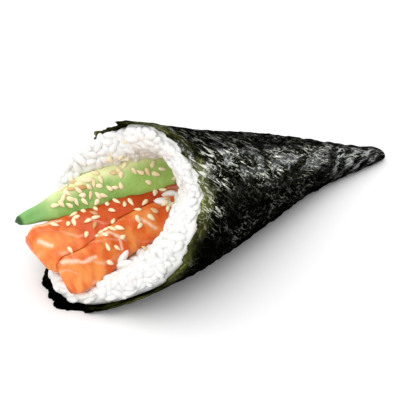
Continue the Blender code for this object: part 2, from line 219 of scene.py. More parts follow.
def make_outward(piece):
    """Turns the faces round if the closed mesh is inside out."""
    mesh = piece.data
    mesh.calc_loop_triangles()
    corners = np.array([v.co for v in mesh.vertices])
    triangles = np.array([t.vertices for t in mesh.loop_triangles])
    if np.linalg.det(corners[triangles]).sum() < 0:
        mesh.flip_normals()


print("helpers ready")

# %% [markdown]
# Toasted seaweed is thin and crackly. The sheet goes once round and laps over itself,
# so the mesh is one long strip with two faces, wound like a scroll. A sum of many small
# waves gives it crinkles, a few larger folds draw it together at the tail, and a rough
# edge shows where the sheet was torn.

# %% Crinkles and the torn edge
WRAP_START = math.radians(-32)
SEAM_AT_LIP = math.radians(28)
SEAM_AT_TAIL = math.radians(125)
STEP_STARTS = math.radians(150)
STEP_ENDS = math.radians(318)
SHEET_COLUMNS = 330
SHEET_ROWS = 118
CRINKLE = 0.00013
CRINKLE_WAVES = 26
FOLD = 0.00022
RAG = 0.0006


def layer_inset(wrap):
    """The first turn lies one layer deeper than the end that laps over it."""
    return (SHEET + LAYER_GAP) * (1 - ease((wrap - STEP_STARTS) / (STEP_ENDS - STEP_STARTS)))


def crinkle(x, angle):
    """Small waves in every direction, and folds that draw the tail together."""
    source = np.random.default_rng(5)
    total = 0.0
    for _ in range(CRINKLE_WAVES):
        round_waves = int(source.integers(3, 26))
        long_waves = source.uniform(-1500, 1500)
        total = total + np.sin(round_waves * angle + long_waves * x + source.uniform(0, 6.3))
    folds = np.sin(4 * angle + 90 * x) + 0.8 * np.sin(3 * angle - 620 * x)
    folds = folds + 0.6 * np.sin(6 * angle + 900 * x)
    drawn = ease((x - 0.010) / 0.022) * ease((0.064 - x) / 0.012)
    return CRINKLE * (total / 3.6) * ease((TIP_X - x) / 0.006) + FOLD * folds * drawn


def rag(wrap):
    """How far the torn edge strays from the smooth one."""
    slow = np.sin(17 * wrap) + 0.8 * np.sin(29 * wrap + 2) + 0.5 * np.sin(41 * wrap + 1)
    fine = np.sin(97 * wrap + 3) + 0.8 * np.sin(151 * wrap) + 0.6 * np.sin(233 * wrap + 2)
    return RAG * (slow + 0.35 * fine)


print("the torn edge strays by up to", np.round(rag(np.arange(0, 6, 0.01)).max(), 4), "m")

# %% [markdown]
# The material paints light on the sheet as colour: one side faces the light, and the pale marks are
# painted brightest there. The material could find that side from its coordinates, but the sheet is
# wound, so it is easier to store three values while the sheet is made: how strongly the painted
# light shows, how near a point is to the painted sheen band, and how much painted gleam lies on the
# folds of the tail.

# %% Where light is painted on the sheet
# Painted light is strongest on the side that faces the light and fades below and above it. A faint
# painted light stays on the back of the roll.
LIT_SIDE = math.radians(222)
PAINTED_LIGHT_LEFT = (0.12, 0.20)  # the strength that marks keep below that side, and above it
PAINTED_LIGHT_FADE = (0.78, 0.89)  # and the cosine of the angle at which they are down to that
FULL_PAINTED_LIGHT = 0.95
BACK_SIDE = math.radians(15)
BACK_PAINTED_LIGHT = 0.14
# Where the painted sheen band lies, and how it winds towards the tail.
BAND_AT_MOUTH = math.radians(214)
BAND_TURNS = math.radians(18)  # how far the band winds on its way to the tail
BAND_WIDTH = math.radians(16)
# How wide the painted gleam on the tail's folds spreads.
GLEAM_WIDTH = math.radians(46)


def gloss(x, wrap):
    """How strongly painted light shows, how near the painted sheen band is, and the painted gleam
    on the tail.
    """
    facing = np.cos(wrap - LIT_SIDE)
    left, fade = (np.where(wrap > LIT_SIDE, *pair) for pair in (PAINTED_LIGHT_LEFT, PAINTED_LIGHT_FADE))
    strong = ease((facing - fade) / (FULL_PAINTED_LIGHT - fade))
    painted_light = ease(facing / 0.7) * (left + (1 - left) * strong)
    painted_light = np.maximum(painted_light, BACK_PAINTED_LIGHT * ease((0.1 + np.sin(wrap - BACK_SIDE)) / 0.8))
    aside = wrap - BAND_AT_MOUTH - BAND_TURNS * ease((x + 0.02) / 0.065)
    facets = np.sin(6 * wrap + 900 * x) + 0.7 * np.sin(3 * wrap - 620 * x)
    drawn = ease((x - 0.036) / 0.010) * ease((0.067 - x) / 0.005)
    gleam = drawn * np.exp(-((aside / GLEAM_WIDTH) ** 2)) * ease((facets + 0.4) / 0.8)
    band = np.exp(-((aside / BAND_WIDTH) ** 2)) * (1 - 0.8 * drawn)
    return np.broadcast_to(painted_light, x.shape), band, gleam


# %% Wind the seaweed sheet
UV_WRAP = 0.022  # metres of sheet for each radian, near enough for the marks


def seaweed_sheet():
    share = (np.arange(SHEET_ROWS + 1) / SHEET_ROWS)[:, None]
    step = (np.arange(SHEET_COLUMNS + 1) / SHEET_COLUMNS)[None, :]
    seam = SEAM_AT_LIP + (SEAM_AT_TAIL - SEAM_AT_LIP) * ease(share * 1.1)
    wrap = WRAP_START + (2 * math.pi + seam - WRAP_START) * step
    lip = mouth_x(wrap) + rag(wrap)
    x = lip + (TIP_X - lip) * (1 - (1 - share) ** 1.15)
    relief = crinkle(x, wrap)
    points, places = [], []
    for depth in (0, SHEET):
        points += list(section_points(x, wrap, layer_inset(wrap) + depth, relief).reshape(-1, 3))
        flat = np.stack([wrap * UV_WRAP, x, np.full_like(x, depth * 10)], -1)
        places.append(flat.reshape(-1, 3))
    values = {"sheet_uv": np.concatenate(places)}
    for key, numbers in zip(("from_lip", "painted_light", "band", "gleam"), (x - lip, *gloss(x, wrap))):
        values[key] = np.tile(numbers.ravel(), 2)
    across = SHEET_COLUMNS + 1
    layer = across * (SHEET_ROWS + 1)
    faces = grid_faces(SHEET_ROWS, SHEET_COLUMNS)
    faces += grid_faces(SHEET_ROWS, SHEET_COLUMNS, layer, turned=True)
    border = [row * across for row in range(SHEET_ROWS, -1, -1)] + list(range(1, across))
    border += [row * across + SHEET_COLUMNS for row in range(1, SHEET_ROWS + 1)]
    border += list(range(layer - 2, layer - across, -1))
    faces += [(b, a, a + layer, b + layer) for a, b in zip(border, border[1:] + border[:1])]
    return new_piece("seaweed", points, faces, values)


seaweed = seaweed_sheet()
make_outward(seaweed)
print("seaweed:", len(seaweed.data.polygons), "faces")

# %% [markdown]
# The fillings are long strips, each swept along a smooth curve. The strip's section
# turns as it goes, so it can lean on its neighbour. The salmon is a block with soft
# corners, and the avocado is a slice that thins out to a point.

# %% Curves that the fillings follow
SALMON_FRONT_LINE = (
    (0.002, -0.0015, 0.0140),
    (-0.026, 0.0012, 0.0136),
    (-0.046, 0.0016, 0.0128),
    (-0.062, -0.0048, 0.0130),
    (-0.0730, -0.0062, 0.0130),
)
SALMON_FRONT_SIZE = (0.0128, 0.0090)
SALMON_FRONT_ROLL = (38, 46, 50, 51, 48)
SALMON_BACK_LINE = (
    (-0.004, 0.0060, 0.0180),
    (-0.028, 0.0088, 0.0160),
    (-0.047, 0.0080, 0.0154),
    (-0.060, 0.0072, 0.0156),
    (-0.0755, 0.0064, 0.0164),
)
SALMON_BACK_SIZE = (0.0182, 0.0088)
SALMON_BACK_ROLL = (20, 14, 10, 10, 11)
AVOCADO_LINE = (
    (-0.001, 0.0106, 0.0220),
    (-0.023, 0.0137, 0.0251),
    (-0.046, 0.0171, 0.0235),
    (-0.060, 0.0172, 0.0224),
    (-0.0745, 0.0206, 0.0204),
)
AVOCADO_WIDTHS = (0.0140, 0.0158, 0.0128, 0.0098, 0.0026)
AVOCADO_THICKNESS = 0.0068
AVOCADO_ROLL = (60, 63, 63, 63, 60)


def curve_point(points, share):
    """A smooth curve through the points, and its direction, at a share of its length."""
    spans = len(points) - 1
    place = min(max(share * spans, 0), spans - 1e-6)
    i = int(place)
    t = place - i
    p1, p2 = Vector(points[i]), Vector(points[i + 1])
    p0 = Vector(points[i - 1]) if i else 2 * p1 - p2
    p3 = Vector(points[i + 2]) if i + 2 <= spans else 2 * p2 - p1
    a, b, c = p2 - p0, 2 * p0 - 5 * p1 + 4 * p2 - p3, 3 * p1 - 3 * p2 + p3 - p0
    return p1 + 0.5 * (a * t + b * t**2 + c * t**3), (a + 2 * b * t + 3 * c * t**2).normalized()


def strip_frame(line, roll, share):
    """Centre of a strip's section, and the directions across it and out of its top."""
    centre, along = curve_point(line, share)
    across = Vector((0, 0, 1)).cross(-along).normalized()
    up = (-along).cross(across)
    tilt = math.radians(np.interp(share * (len(roll) - 1), range(len(roll)), roll))
    wide = across * math.cos(tilt) + up * math.sin(tilt)
    return centre - ORIGIN, wide, up * math.cos(tilt) - across * math.sin(tilt)


# %% Sections of the fillings
def softened(value, power):
    return math.copysign(abs(value) ** power, value)


def salmon_section(turn, share, size):
    """A cut block with soft corners. The flakes part in shallow steps across its top."""
    wide, thick = size
    y = softened(math.cos(turn), 0.45) * wide / 2
    z = softened(math.sin(turn), 0.55) * thick / 2
    flakes = 0.00020 * math.sin(70 * share + 620 * y) + 0.00016 * math.sin(23 * share - 300 * y)
    end = math.sqrt(min(max(1 - ((share - 0.93) / 0.07) ** 2, 0.25), 1)) if share > 0.93 else 1
    lifted = z + (flakes if z > 0 else 0)
    return y * (1 + 0.05 * math.sin(7 * share)) * (0.6 + 0.4 * end), lifted * end


def avocado_section(turn, share, thick):
    """A slice between two cut faces, thicker on the side where the skin was."""
    wide = float(np.interp(share * 4, range(5), AVOCADO_WIDTHS))
    slimmer = 0.35 + 0.65 * wide / max(AVOCADO_WIDTHS)
    across = softened(math.cos(turn), 0.8)
    dents = 0.00022 * math.sin(31 * share + 3) + 0.00012 * math.sin(19 * share + 4 * across)
    z = softened(math.sin(turn), 0.62) * thick / 2 * (1.0 - 0.30 * across) * slimmer
    return across * (wide / 2 + dents), z + (dents if z > 0 else 0)


# %% Sweep the fillings
STRIP_ROWS = 130
STRIP_COLUMNS = 64
STRIP_END = 0.0012  # how far the middle of an end bulges


def strip(name, line, roll, section, size, grown=0.0):
    """A filling swept along its line. Grown by a little, it cuts its bed in the rice."""
    rings, flesh = [], []
    length = (Vector(line[0]) - Vector(line[-1])).length
    for row in range(STRIP_ROWS + 1):
        share = row / STRIP_ROWS
        centre, wide, up = strip_frame(line, roll, share)
        ring = []
        for column in range(STRIP_COLUMNS):
            turn = 2 * math.pi * (column + 0.5) / STRIP_COLUMNS
            y, z = section(turn, share, size)
            out = Vector((y, z)).normalized() * grown
            ring.append(centre + wide * (y + out.x) + up * (z + out.y))
            flesh.append((y, share * length, z))
        rings.append(ring)
    ends = []
    for share, beside in ((0, 0.02), (1, 0.98)):
        tip = curve_point(line, share)[0]
        outward = (tip - curve_point(line, beside)[0]).normalized()
        ends.append(tip - ORIGIN + outward * (STRIP_END + grown))
        flesh.append((0, share * length, 0))
    return tube_piece(name, rings, ends, {"flesh": flesh})


FRONT = (SALMON_FRONT_LINE, SALMON_FRONT_ROLL, salmon_section, SALMON_FRONT_SIZE)
BACK = (SALMON_BACK_LINE, SALMON_BACK_ROLL, salmon_section, SALMON_BACK_SIZE)
SLICE = (AVOCADO_LINE, AVOCADO_ROLL, avocado_section, AVOCADO_THICKNESS)
salmon_front = strip("salmon_near", *FRONT)
salmon_back = strip("salmon_far", *BACK)
avocado = strip("avocado_slice", *SLICE)
for piece in (salmon_front, salmon_back, avocado):
    make_outward(piece)
print("strips:", [len(p.data.polygons) for p in (salmon_front, salmon_back, avocado)])

# %% [markdown]
# Where two strips meet, one gives way to the other. A Boolean difference with a slightly
# grown copy of the neighbour presses the softer one to shape, as fingers do when they
# roll the cone. A sliver that the cut leaves on the neighbour's other side is dropped.

# %% Press the strips together
PRESS_GAP = 0.00012


def cut_away(target, cutters):
    for cutter in cutters:
        cut = target.modifiers.new("pressed", "BOOLEAN")
        cut.operation = "DIFFERENCE"
        cut.object = cutter
        cut.solver = "EXACT"
    graph = bpy.context.evaluated_depsgraph_get()
    mesh = bpy.data.meshes.new_from_object(target.evaluated_get(graph))
    target.modifiers.clear()
    drop_scraps(mesh)
    bring_values(target.data, mesh)
    target.data = mesh
    mesh.shade_smooth()


def drop_scraps(mesh):
    """Keeps the largest of the bodies that a cut leaves."""
    shape = bmesh.new()
    shape.from_mesh(mesh)
    left, bodies = set(shape.verts), []
    while left:
        body, waiting = set(), [left.pop()]
        while waiting:
            corner = waiting.pop()
            body.add(corner)
            beside = {edge.other_vert(corner) for edge in corner.link_edges} & left
            left -= beside
            waiting += beside
        bodies.append(body)
    largest = max(bodies, key=len)
    scraps = [corner for corner in shape.verts if corner not in largest]
    bmesh.ops.delete(shape, geom=scraps, context="VERTS")
    shape.to_mesh(mesh)
    shape.free()
    print("bodies after the cut:", len(bodies), "corners dropped:", len(scraps))


def bring_values(old, new):
    """Each point of the cut mesh takes the stored values of the nearest old point."""
    tree = KDTree(len(old.vertices))
    for i, vertex in enumerate(old.vertices):
        tree.insert(vertex.co, i)
    tree.balance()
    nearest = [tree.find(v.co)[1] for v in new.vertices]
    for key, field, width in (("flesh", "vector", 3), ("shows", "value", 1)):
        if key not in old.attributes:
            continue
        numbers = np.empty(len(old.vertices) * width, dtype=np.float32)
        old.attributes[key].data.foreach_get(field, numbers)
        if key in new.attributes:
            new.attributes.remove(new.attributes[key])
        layer = new.attributes.new(key, old.attributes[key].data_type, "POINT")
        layer.data.foreach_set(field, numbers.reshape(-1, width)[nearest].ravel())


cutters = []
for name, shape in (("near", FRONT), ("far", BACK), ("slice", SLICE)):
    cutters.append(strip("press_" + name, *shape, grown=PRESS_GAP))
    make_outward(cutters[-1])
cut_away(salmon_back, cutters[:1])
cut_away(avocado, cutters[:2])
print("pressed strips:", [len(p.data.polygons) for p in (salmon_back, avocado)])

# %% [markdown]
# Thousands of grains could fill the whole cone, but only those at the mouth are seen. So
# the rice is a packed core in the shape of a thick cup, and loose grains lie on the part
# of it that shows. The core is a loft: up the side, over the crown, down the hollow.

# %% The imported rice
RICE_END_X = 0.052
HOLLOW_X = -0.0150
HOLLOW_BLUNTNESS = 0.50
HOLLOW_LEAN = 0.0060
CLEARANCE = 0.00035
RICE_SET_BACK = (
    (-150, 0.0014),
    (-60, 0.0014),
    (-25, 0.0030),
    (20, 0.0040),
    (55, 0.0022),
    (85, -0.0006),
    (104, -0.0006),
    (122, 0.0022),
    (142, 0.0032),
    (170, 0.0014),
)
RICE_LUMP = 0.0007
RICE_WALL = (
    (-150, 0.0138),
    (-122, 0.0165),
    (-92, 0.0138),
    (-62, 0.0118),
    (-40, 0.0100),
    (0, 0.0080),
    (45, 0.0090),
    (95, 0.0095),
    (130, 0.0095),
    (175, 0.0088),
)
RICE_CROWN = (
    (-150, 0.0022),
    (-95, 0.0030),
    (-58, 0.0055),
    (-25, 0.0025),
    (0, 0.0005),
    (40, 0.0020),
    (78, 0.0060),
    (102, 0.0062),
    (122, 0.0018),
    (165, 0.0020),
)
RICE_COLUMNS = 150
SIDE_RINGS, CROWN_RINGS, HOLLOW_RINGS = 25, 13, 20
RICE_SPREAD = 0.2  # radians over which the tables above are smoothed


def rice_inset(angle):
    """The rice stays clear of the innermost layer of the sheet."""
    wrap = WRAP_START + (angle - WRAP_START) % (2 * math.pi)
    before_start = ease((wrap - WRAP_START - 2 * math.pi + 0.5) / 0.35)
    inset = layer_inset(wrap)
    return inset + (SHEET + LAYER_GAP - inset) * before_start + SHEET + CLEARANCE


def lump(x, y, z):
    """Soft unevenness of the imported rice."""
    first = np.sin(430 * x + 2) * np.sin(510 * y + 1)
    second = np.sin(610 * z + 390 * y) * np.sin(350 * x - 480 * z)
    return RICE_LUMP * (first + second)


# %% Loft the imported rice
def rice_core():
    angle = np.arange(RICE_COLUMNS) * 2 * math.pi / RICE_COLUMNS
    set_back, wall, crown = (
        around(table, angle, RICE_SPREAD) for table in (RICE_SET_BACK, RICE_WALL, RICE_CROWN)
    )
    edge, inset = mouth_x(angle) + set_back, rice_inset(angle)
    origin = np.array(ORIGIN)
    rings, shows = [], []
    for share in np.linspace(0, 1, SIDE_RINGS + 1)[:-1]:
        rings.append(section_points(RICE_END_X + (edge - RICE_END_X) * share, angle, inset))
        shows += [0.0] * RICE_COLUMNS
    for share in np.linspace(0, 1, CROWN_RINGS):
        points = section_points(edge, angle, inset + (wall - inset) * share)
        swell = (math.sin(math.pi * share) * crown)[:, None]
        dents = lump(*(points + origin).T)[:, None] * math.sin(math.pi * share)
        rings.append(points + np.array([-0.8, 0, 0.6]) * swell - np.array([1, 0, 0]) * dents)
        shows += [1.0] * RICE_COLUMNS
    for turn in np.linspace(0, math.pi / 2, HOLLOW_RINGS + 2)[1:-1]:
        x = edge + (HOLLOW_X - edge) * math.sin(turn)
        reach = (roll_radius(x) - wall) * math.cos(turn) ** HOLLOW_BLUNTNESS
        y = reach * np.sin(angle) + HOLLOW_LEAN * math.sin(turn) ** 2 + side_shift(x, np.sin(angle))
        z = roll_radius(x) * (1 - PRESSED_SHARE) - reach * np.cos(angle)
        rings.append(np.stack([x - lump(x, y, z), y, z + lump(y, z, x)], -1) - origin)
        shows += [1.0] * RICE_COLUMNS
    tail_y = float(along_roll(TAIL_BEND, RICE_END_X))
    tail = Vector((RICE_END_X + 0.002, tail_y, float(roll_radius(RICE_END_X)))) - ORIGIN
    floor = Vector((HOLLOW_X, HOLLOW_LEAN, float(roll_radius(HOLLOW_X)))) - ORIGIN
    return tube_piece("rice_core", rings, (tail, floor), {"shows": shows + [0.0, 1.0]})


rice = rice_core()
make_outward(rice)
cut_away(rice, cutters)
print("packed rice:", len(rice.data.polygons), "faces")

# %% [markdown]
# A grain of short rice is a plump rod about six millimetres long, a little bent, with one
# end blunter than the other. It needs few faces, because there are many of it. A shorter
# grain fills the gaps next to the sheet, where a long one would poke through it.

# %% Grains and a seed
GRAIN_SIZE = (0.0066, 0.0030, 0.0025)
SHORT_GRAIN_SIZE = (0.0040, 0.0021, 0.0017)
SEED_SIZE = (0.0032, 0.0016, 0.0010)


def small_thing(name, size, bands, sides, power, taper, bend=0.0):
    """A plump closed rod along X. Bend bows it, and taper thins one end."""
    length, width, height = size
    rings = []
    for band in range(1, bands):
        share = band / bands
        swell = math.sin(math.pi * share) ** power * (1 - taper * (share - 0.5))
        middle = Vector((length * (share - 0.5), 0, -bend * (2 * share - 1) ** 2))
        ring = []
        for side in range(sides):
            turn = 2 * math.pi * side / sides
            out = Vector((0, math.cos(turn) * width / 2, math.sin(turn) * height / 2))
            ring.append(middle + out * swell)
        rings.append(ring)
    ends = [Vector((-length / 2, 0, -bend)), Vector((length / 2, 0, -bend))]
    made = tube_piece(name, rings, ends)
    make_outward(made)
    return made


grain = small_thing("one_grain", GRAIN_SIZE, 7, 8, 0.5, 0.25, bend=0.00025)
short_grain = small_thing("short_grain", SHORT_GRAIN_SIZE, 6, 7, 0.5, 0.2, bend=0.00015)
seed = small_thing("one_seed", SEED_SIZE, 7, 8, 0.62, 0.75)
print("a grain has", len(grain.data.polygons), "faces, a seed", len(seed.data.polygons))

# %% [markdown]
# Grains must not stand inside the fish, so each point of the core learns how far it is
# from the fillings. A search tree over the strips answers that quickly. The answer goes
# into the attribute that later sets how thickly the grains lie.

# %% Where grains may lie
KEEP_OFF = 0.0006
KEEP_OFF_EASE = 0.0008


def search_tree(*pieces):
    points, faces = [], []
    for piece in pieces:
        base = len(points)
        points += [v.co.copy() for v in piece.data.vertices]
        faces += [tuple(base + i for i in p.vertices) for p in piece.data.polygons]
    return BVHTree.FromPolygons(points, faces)


fillings = search_tree(salmon_front, salmon_back, avocado)
shows = rice.data.attributes["shows"].data
for vertex, value in zip(rice.data.vertices, shows):
    nearest = fillings.find_nearest(vertex.co)[3]
    value.value *= float(ease((nearest - KEEP_OFF) / KEEP_OFF_EASE))
print("grains may lie on", sum(v.value > 0.5 for v in shows), "points of the core")

# %% [markdown]
# Geometry Nodes scatter the grains. The tree spreads points over the core with a least
# distance between them, sets a grain on each, turns and tips it at random, and makes real
# meshes of them. A particle system could do it too, but a tree shows each step and gives
# the same grains each time. Grains that would poke through the sheet are then picked out.

# %% Helpers for node trees


def link_all(tree, *pairs):
    for start, end in pairs:
        tree.links.new(start, end)


def add_node(tree, kind, **settings):
    node = tree.nodes.new(kind)
    for key, value in settings.items():
        setattr(node, key, value)
    return node


def tree_with_inputs(name, inputs):
    tree = bpy.data.node_groups.new(name, "GeometryNodeTree")
    tree.interface.new_socket("Geometry", in_out="INPUT", socket_type="NodeSocketGeometry")
    for label, kind, value in inputs:
        socket = tree.interface.new_socket(label, in_out="INPUT", socket_type=kind)
        if value is not None:
            socket.default_value = value
    tree.interface.new_socket("Geometry", in_out="OUTPUT", socket_type="NodeSocketGeometry")
    return tree, add_node(tree, "NodeGroupInput"), add_node(tree, "NodeGroupOutput")


def run_tree(host, tree, settings):
    """Runs the tree on its host and leaves a plain mesh."""
    modifier = host.modifiers.new(tree.name, "NODES")
    modifier.node_group = tree
    for item in tree.interface.items_tree:
        if item.in_out == "INPUT" and item.name in settings:
            modifier[item.identifier] = settings[item.name]
    graph = bpy.context.evaluated_depsgraph_get()
    mesh = bpy.data.meshes.new_from_object(host.evaluated_get(graph))
    host.modifiers.clear()
    host.data = mesh


def random_between(tree, low, high, draw):
    node = add_node(tree, "FunctionNodeRandomValue", data_type="FLOAT_VECTOR")
    node.inputs[0].default_value = low
    node.inputs[1].default_value = high
    node.inputs["Seed"].default_value = draw
    return node.outputs[0]


def read_attribute(tree, name, kind):
    node = add_node(tree, "GeometryNodeInputNamedAttribute", data_type=kind)
    node.inputs["Name"].default_value = name
    return node.outputs["Attribute"]


def place_shapes(tree, start, end, points, turn, size, look):
    """The end of a tree: the given shape on each point, turned and sized, as a real mesh."""
    shape = add_node(tree, "GeometryNodeObjectInfo")
    place = add_node(tree, "GeometryNodeInstanceOnPoints")
    real = add_node(tree, "GeometryNodeRealizeInstances")
    dressed = add_node(tree, "GeometryNodeSetMaterial")
    dressed.inputs["Material"].default_value = look
    link_all(
        tree,
        (start.outputs["Shape"], shape.inputs["Object"]),
        (points, place.inputs["Points"]),
        (shape.outputs["Geometry"], place.inputs["Instance"]),
        (turn.outputs["Rotation"], place.inputs["Rotation"]),
        (size, place.inputs["Scale"]),
        (place.outputs["Instances"], real.inputs["Geometry"]),
        (real.outputs["Geometry"], dressed.inputs["Geometry"]),
        (dressed.outputs["Geometry"], end.inputs["Geometry"]),
    )


print("helpers for node trees ready")

# %% The tree that scatters grains
ALL_ROUND = 6.283  # a full turn, in radians


def scatter_grains_tree(look):
    inputs = (
        ("Shape", "NodeSocketObject", None),
        ("Least distance", "NodeSocketFloat", 0.0015),
        ("Most per square metre", "NodeSocketFloat", 500000.0),
        ("Seed", "NodeSocketInt", 3),
    )
    tree, start, end = tree_with_inputs("scatter grains", inputs)
    spread = add_node(tree, "GeometryNodeDistributePointsOnFaces", distribute_method="POISSON")
    spin = random_between(tree, (-0.32, -0.42, 0), (0.32, 0.30, ALL_ROUND), 11)
    tip = add_node(tree, "FunctionNodeRotateRotation", rotation_space="LOCAL")
    size = random_between(tree, (0.80, 0.86, 0.86), (1.14, 1.10, 1.12), 12)
    link_all(
        tree,
        (start.outputs["Geometry"], spread.inputs["Mesh"]),
        (start.outputs["Least distance"], spread.inputs["Distance Min"]),
        (start.outputs["Most per square metre"], spread.inputs["Density Max"]),
        (start.outputs["Seed"], spread.inputs["Seed"]),
        (read_attribute(tree, "shows", "FLOAT"), spread.inputs["Density Factor"]),
        (spread.outputs["Rotation"], tip.inputs["Rotation"]),
        (spin, tip.inputs["Rotate By"]),
    )
    place_shapes(tree, start, end, spread.outputs["Points"], tip, size, look)
    return tree


# %% Pick out grains that don't fit
SHEET_GAP = 0.0002
PAST_LIP = 0.0010
OFF_TABLE = 0.0014
ANY_DEPTH = 1.0


def fits_the_roll(points, deepest):
    """Whether points lie clear of the sheet and the table, and no deeper in than asked."""
    x, y, z = (points + np.array(ORIGIN)).T
    y = straightened(x, y)
    radius = roll_radius(x)
    down = radius * (1 - PRESSED_SHARE) - z
    angle, reach = np.arctan2(y, down), np.hypot(y, down)
    inside = reach < radius - 2 * SHEET - LAYER_GAP - SHEET_GAP
    past_lip = (x < mouth_x(angle) - PAST_LIP) & (reach < radius - SHEET_GAP)
    return (inside | past_lip) & (reach > radius - deepest) & (z > OFF_TABLE)


def pick_out_misfits(piece, corners_each, deepest=ANY_DEPTH):
    """Removes each small shape with a corner that doesn't fit, and counts the others."""
    points = np.array([v.co for v in piece.data.vertices])
    fits = fits_the_roll(points, deepest).reshape(-1, corners_each).all(axis=1)
    shape = bmesh.new()
    shape.from_mesh(piece.data)
    misfits = [v for v, keep in zip(shape.verts, np.repeat(fits, corners_each)) if not keep]
    bmesh.ops.delete(shape, geom=misfits, context="VERTS")
    shape.to_mesh(piece.data)
    shape.free()
    return int(fits.sum())


def join_meshes(target, other):
    shape = bmesh.new()
    for piece in (target, other):
        shape.from_mesh(piece.data)
    shape.to_mesh(target.data)
    shape.free()
    target.data.shade_smooth()
    bpy.data.objects.remove(other)


print("the scattering tree can be built once the rice has its look")

# %% [markdown]
# A material starts from the Principled shader, which can be almost any surface. Colour,
# roughness and small bumps come from noise, so nothing repeats. One node group makes
# soft bumps, and the rice, the fish and the fruit all share it.

# %% Helpers for materials


def principled(name, **fixed):
    look = bpy.data.materials.new(name)
    look.use_nodes = True
    shader = look.node_tree.nodes["Principled BSDF"]
    for key, value in fixed.items():
        shader.inputs[key.replace("_", " ")].default_value = value
    return look, look.node_tree, shader


def noise(tree, vector, scale, detail=3.0, roughness=0.5, distortion=0.0):
    node = add_node(tree, "ShaderNodeTexNoise")
    node.inputs["Scale"].default_value = scale
    node.inputs["Detail"].default_value = detail
    node.inputs["Roughness"].default_value = roughness
    node.inputs["Distortion"].default_value = distortion
    tree.links.new(vector, node.inputs["Vector"])
    return node.outputs["Fac"]


def remap(tree, value, low, high, to_low=0.0, to_high=1.0):
    node = add_node(tree, "ShaderNodeMapRange", interpolation_type="SMOOTHSTEP")
    for i, number in enumerate((low, high, to_low, to_high)):
        node.inputs[i + 1].default_value = number
    tree.links.new(value, node.inputs[0])
    return node.outputs[0]


def mix(tree, share, first, second):
    node = add_node(tree, "ShaderNodeMix", data_type="RGBA")
    tree.links.new(share, node.inputs[0])
    for socket, colour in ((node.inputs[6], first), (node.inputs[7], second)):
        if isinstance(colour, tuple):
            socket.default_value = (*colour, 1)
        else:
            tree.links.new(colour, socket)
    return node.outputs[2]


def wire(tree, shader, **values):
    """Links what changes over the surface into the shader."""
    for key, value in values.items():
        tree.links.new(value, shader.inputs[key.replace("_", " ")])


def set_or_link(tree, sockets, values):
    """A value is either a number, which is set, or another node's output, which is linked."""
    for socket, value in zip(sockets, values):
        if isinstance(value, bpy.types.NodeSocket):
            tree.links.new(value, socket)
        else:
            socket.default_value = value


def maths(tree, operation, *values):
    node = add_node(tree, "ShaderNodeMath", operation=operation)
    set_or_link(tree, node.inputs, values)
    return node.outputs[0]


def vector_maths(tree, operation, *values):
    node = add_node(tree, "ShaderNodeVectorMath", operation=operation)
    set_or_link(tree, node.inputs, values)
    return node


def times(tree, first, *others):
    for value in others:
        first = maths(tree, "MULTIPLY", first, value)
    return first


def coordinates(tree):
    return add_node(tree, "ShaderNodeTexCoord").outputs["Object"]


def stored(tree, name, output="Fac"):
    return add_node(tree, "ShaderNodeAttribute", attribute_name=name).outputs[output]


def parts_of(tree, vector):
    node = add_node(tree, "ShaderNodeSeparateXYZ")
    tree.links.new(vector, node.inputs[0])
    return node.outputs


def mapped(tree, vector, scale, turn=0.0, kind="POINT"):
    """Kind POINT squeezes a pattern by the scale. TEXTURE draws it out, then turns it."""
    node = add_node(tree, "ShaderNodeMapping", vector_type=kind)
    node.inputs["Rotation"].default_value = (0, 0, turn)
    node.inputs["Scale"].default_value = scale
    tree.links.new(vector, node.inputs["Vector"])
    return node.outputs["Vector"]


def bump(tree, height, distance, strength, under=None):
    node = add_node(tree, "ShaderNodeBump")
    node.inputs["Distance"].default_value = distance
    node.inputs["Strength"].default_value = strength
    tree.links.new(height, node.inputs["Height"])
    if under is not None:
        tree.links.new(under, node.inputs["Normal"])
    return node.outputs["Normal"]


# %% A shared group for soft bumps
def soft_bumps_group():
    group = bpy.data.node_groups.new("soft bumps", "ShaderNodeTree")
    for label, value in (("Size", 600), ("Height", 0.0002)):
        socket = group.interface.new_socket(label, in_out="INPUT", socket_type="NodeSocketFloat")
        socket.default_value = value
    group.interface.new_socket("Normal", in_out="OUTPUT", socket_type="NodeSocketVector")
    start, end = add_node(group, "NodeGroupInput"), add_node(group, "NodeGroupOutput")
    texture = add_node(group, "ShaderNodeTexNoise")
    texture.inputs["Detail"].default_value = 4
    raised = add_node(group, "ShaderNodeBump")
    link_all(
        group,
        (coordinates(group), texture.inputs["Vector"]),
        (start.outputs["Size"], texture.inputs["Scale"]),
        (texture.outputs["Fac"], raised.inputs["Height"]),
        (start.outputs["Height"], raised.inputs["Distance"]),
        (raised.outputs["Normal"], end.inputs["Normal"]),
    )
    return group


SOFT_BUMPS = soft_bumps_group()


def soft_bumps(tree, size, height):
    node = add_node(tree, "ShaderNodeGroup", node_tree=SOFT_BUMPS)
    node.inputs["Size"].default_value = size
    node.inputs["Height"].default_value = height
    return node.outputs["Normal"]


print("material helpers ready")

# %% [markdown]
# Cooked rice lets light in and scatters it, which is why it glows white instead of
# looking like chalk. Subsurface scattering does that. Each grain is its own island of
# the mesh, and a random number for each island tints it a little.

# %% The look of rice
def rice_look():
    look, tree, shader = principled(
        "cooked rice",
        Roughness=0.34,
        Subsurface_Weight=0.20,
        Subsurface_Scale=0.0008,
        Subsurface_Radius=(1.0, 0.85, 0.7),
        IOR=1.4,
    )
    island = add_node(tree, "ShaderNodeNewGeometry").outputs["Random Per Island"]
    tint = mix(tree, island, (0.88, 0.87, 0.835), (0.83, 0.835, 0.82))
    cloud = remap(tree, noise(tree, coordinates(tree), 240), 0.52, 0.72)
    colour = mix(tree, times(tree, cloud, 0.35), tint, (0.84, 0.74, 0.69))
    wire(tree, shader, Base_Color=colour, Normal=soft_bumps(tree, 900, 0.00012))
    return look


